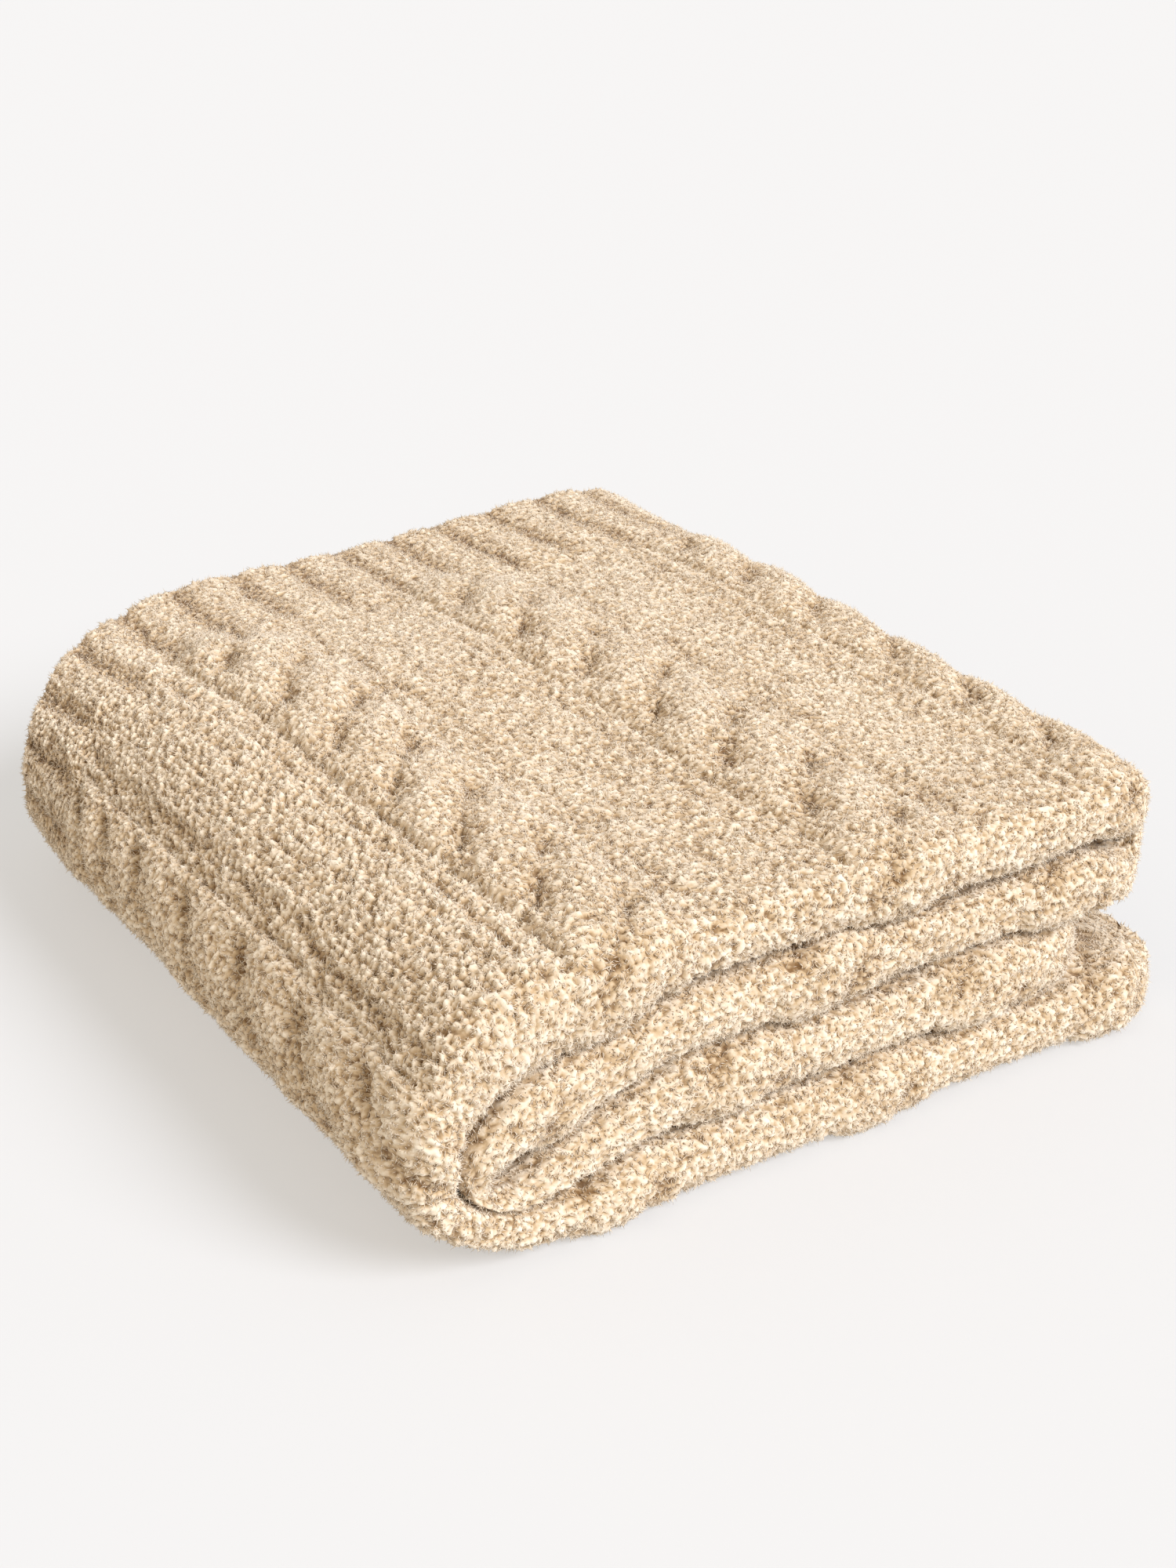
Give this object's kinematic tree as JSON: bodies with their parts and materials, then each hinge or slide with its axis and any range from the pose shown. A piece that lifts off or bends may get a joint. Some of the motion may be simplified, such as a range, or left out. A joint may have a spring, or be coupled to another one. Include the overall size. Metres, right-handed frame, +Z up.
{
  "type": "folded throw blanket",
  "caption": "Folded cable-knit throw blanket of fluffy chenille yarn with ribbed hems, stacked in layers with a round side fold; its upper half opens like a book.",
  "frame": {"origin": "centre of the bottom face, on the surface that the throw rests on", "axes": "+X towards the side with the front folds, -Y towards the big round side fold, +Y towards the free ends, +Z up"},
  "size_m": [0.384, 0.336, 0.108],
  "materials": {
    "cable_knit": "matte fluffy chenille knit",
    "rib_knit": "matte fluffy ribbed knit",
    "fold_knit": "matte fluffy chenille knit, folded"
  },
  "bodies": {
    "stay_half": {"layer3_hem_panel": "cable_knit", "layer3_hem_band": "rib_knit", "layer3_second_panel": "cable_knit", "layer3_second_hem_band": "rib_knit", "layer3_third_panel": "cable_knit", "layer3_plain_panel": "cable_knit", "layer3_front_fold": "fold_knit", "layer3_inner_front_fold": "fold_knit", "layer3_back_fold": "fold_knit", "layer4_hem_panel": "cable_knit", "layer4_hem_band": "rib_knit", "layer4_second_panel": "cable_knit", "layer4_second_hem_band": "rib_knit", "layer4_third_panel": "cable_knit", "layer4_plain_panel": "cable_knit", "layer4_front_fold": "fold_knit", "layer4_inner_front_fold": "fold_knit", "layer4_back_fold": "fold_knit", "outer_side_fold_lower": "fold_knit", "inner_side_fold_lower": "fold_knit"},
    "lift_half": {"layer1_hem_panel": "cable_knit", "layer1_hem_band": "rib_knit", "layer1_second_panel": "cable_knit", "layer1_second_hem_band": "rib_knit", "layer1_third_panel": "cable_knit", "layer1_plain_panel": "cable_knit", "layer1_front_fold": "fold_knit", "layer1_inner_front_fold": "fold_knit", "layer1_back_fold": "fold_knit", "layer2_hem_panel": "cable_knit", "layer2_hem_band": "rib_knit", "layer2_second_panel": "cable_knit", "layer2_second_hem_band": "rib_knit", "layer2_third_panel": "cable_knit", "layer2_plain_panel": "cable_knit", "layer2_front_fold": "fold_knit", "layer2_inner_front_fold": "fold_knit", "layer2_back_fold": "fold_knit", "right_fold": "fold_knit", "outer_side_fold_upper": "fold_knit", "inner_side_fold_upper": "fold_knit"}
  },
  "joints": [
    {"name": "book_fold", "type": "hinge", "parent": "stay_half", "child": "lift_half", "pos_m": [0, -0.11432, 0.05398], "axis": [1, 0, 0], "range_deg": [0, 180], "deforming": ["outer_side_fold_lower", "outer_side_fold_upper", "inner_side_fold_lower", "inner_side_fold_upper"]}
  ]
}
